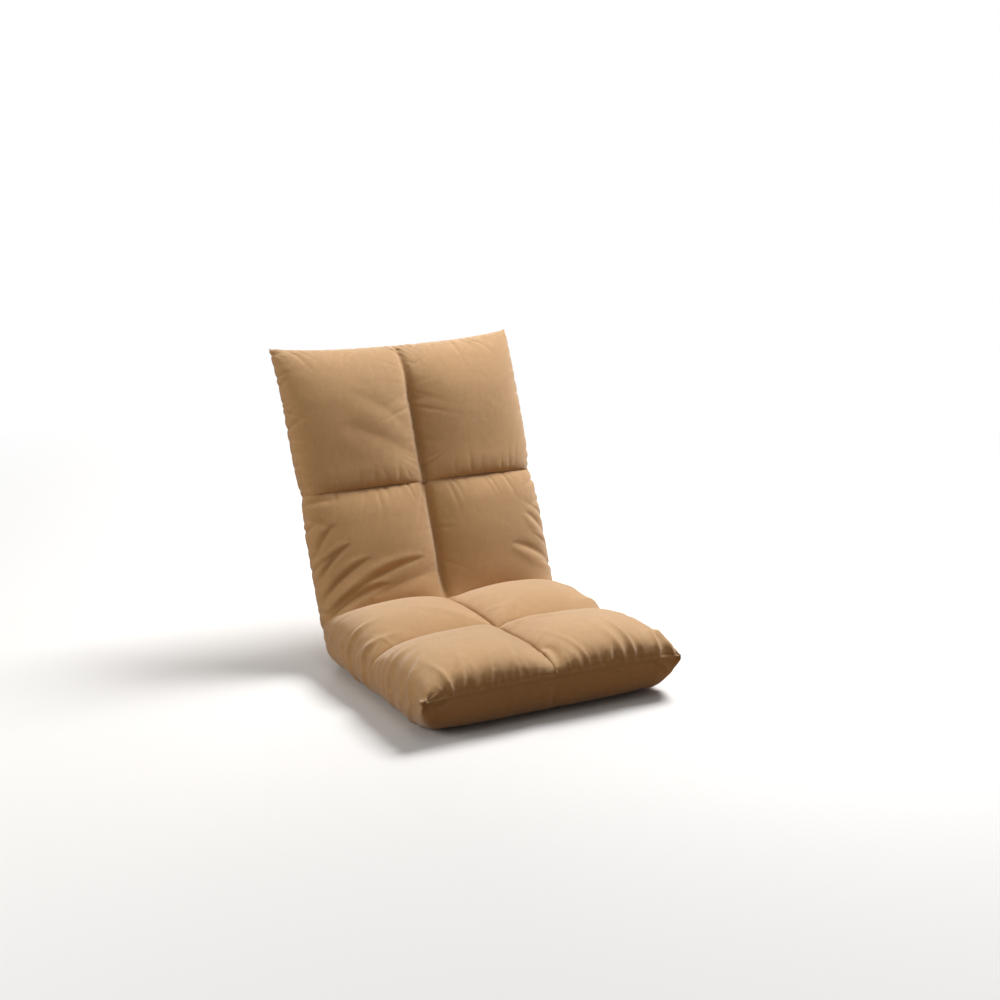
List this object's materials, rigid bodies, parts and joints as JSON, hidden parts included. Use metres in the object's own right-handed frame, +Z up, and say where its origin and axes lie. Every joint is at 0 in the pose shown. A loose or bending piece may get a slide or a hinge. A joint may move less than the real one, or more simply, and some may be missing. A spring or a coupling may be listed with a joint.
{
  "type": "reclining floor chair",
  "caption": "Legless padded floor chair with a ratchet-reclining back, a tilting head section and tufted fabric cushions.",
  "frame": {"origin": "centre of the seat base on the floor", "axes": "+Z up, the sitter faces -Y, +X across the seat to the right as seen from the front"},
  "size_m": [0.5, 0.6506, 0.5562],
  "materials": {
    "cover_fabric": "tan canvas weave",
    "base_cloth": "dark non-woven cloth",
    "foam": "soft polyurethane foam",
    "steel_tube": "black coated steel tube",
    "hinge_steel": "zinc plated pressed steel",
    "spring_steel": "spring steel",
    "rivets": "plain steel rivets"
  },
  "bodies": {
    "seat": {"seat_cushion": "cover_fabric", "waist_gusset": "cover_fabric", "waist_rear_gusset": "cover_fabric", "seat_base_cloth": "base_cloth", "seat_foam_upper": "foam", "seat_foam_lower": "foam", "seat_frame": "steel_tube", "seat_cross_tube": "steel_tube", "waist_casing_outer_left": "hinge_steel", "waist_casing_inner_left": "hinge_steel", "waist_spring_left": "spring_steel", "waist_pivot_left": "rivets", "waist_case_rivets_left": "rivets", "waist_casing_outer_right": "hinge_steel", "waist_casing_inner_right": "hinge_steel", "waist_spring_right": "spring_steel", "waist_pivot_right": "rivets", "waist_case_rivets_right": "rivets"},
    "back": {"back_cushion": "cover_fabric", "neck_gusset": "cover_fabric", "back_foam_front": "foam", "back_foam_rear": "foam", "back_side_tube_left": "steel_tube", "back_side_tube_right": "steel_tube", "back_cross_tube_lower": "steel_tube", "back_cross_tube_upper": "steel_tube", "waist_arm_left": "hinge_steel", "waist_arm_rivets_left": "rivets", "neck_casing_outer_left": "hinge_steel", "neck_casing_inner_left": "hinge_steel", "neck_spring_left": "spring_steel", "neck_pivot_left": "rivets", "neck_case_rivets_left": "rivets", "waist_arm_right": "hinge_steel", "waist_arm_rivets_right": "rivets", "neck_casing_outer_right": "hinge_steel", "neck_casing_inner_right": "hinge_steel", "neck_spring_right": "spring_steel", "neck_pivot_right": "rivets", "neck_case_rivets_right": "rivets"},
    "head": {"head_cushion": "cover_fabric", "head_foam_front": "foam", "head_foam_rear": "foam", "head_frame": "steel_tube", "head_cross_tube": "steel_tube", "neck_arm_left": "hinge_steel", "neck_arm_rivets_left": "rivets", "neck_arm_right": "hinge_steel", "neck_arm_rivets_right": "rivets"},
    "waist_pawl_left": {"waist_pawl_left": "hinge_steel"},
    "waist_pawl_right": {"waist_pawl_right": "hinge_steel"},
    "neck_pawl_left": {"neck_pawl_left": "hinge_steel"},
    "neck_pawl_right": {"neck_pawl_right": "hinge_steel"}
  },
  "joints": [
    {"name": "back_recline", "type": "hinge", "parent": "seat", "child": "back", "pos_m": [0, 0.2, 0.06], "axis": [-1, 0, 0], "range_deg": [-37.5, 67.5], "deforming": ["waist_gusset", "waist_rear_gusset"]},
    {"name": "head_tilt", "type": "hinge", "parent": "back", "child": "head", "pos_m": [0, 0.29797, 0.29651], "axis": [1, 0, 0], "range_deg": [0, 60], "deforming": ["neck_gusset"]},
    {"name": "waist_pawl_left_lift", "type": "hinge", "parent": "seat", "child": "waist_pawl_left", "pos_m": [-0.19, 0.18485, 0.05228], "axis": [-1, 0, 0], "range_deg": [0, 9], "stiffness_Nm_per_rad": 0.05, "springref_deg": -11.46, "deforming": ["waist_spring_left"]},
    {"name": "waist_pawl_right_lift", "type": "hinge", "parent": "seat", "child": "waist_pawl_right", "pos_m": [0.19, 0.18485, 0.05228], "axis": [-1, 0, 0], "range_deg": [0, 9], "stiffness_Nm_per_rad": 0.05, "springref_deg": -11.46, "deforming": ["waist_spring_right"]},
    {"name": "neck_pawl_left_lift", "type": "hinge", "parent": "back", "child": "neck_pawl_left", "pos_m": [-0.19, 0.2993, 0.27957], "axis": [-1, 0, 0], "range_deg": [0, 9], "stiffness_Nm_per_rad": 0.05, "springref_deg": -11.46, "deforming": ["neck_spring_left"]},
    {"name": "neck_pawl_right_lift", "type": "hinge", "parent": "back", "child": "neck_pawl_right", "pos_m": [0.19, 0.2993, 0.27957], "axis": [-1, 0, 0], "range_deg": [0, 9], "stiffness_Nm_per_rad": 0.05, "springref_deg": -11.46, "deforming": ["neck_spring_right"]}
  ],
  "couplings": [
    {"joint": "waist_pawl_right_lift", "follows": "waist_pawl_left_lift", "ratio": 1},
    {"joint": "neck_pawl_right_lift", "follows": "neck_pawl_left_lift", "ratio": 1}
  ]
}
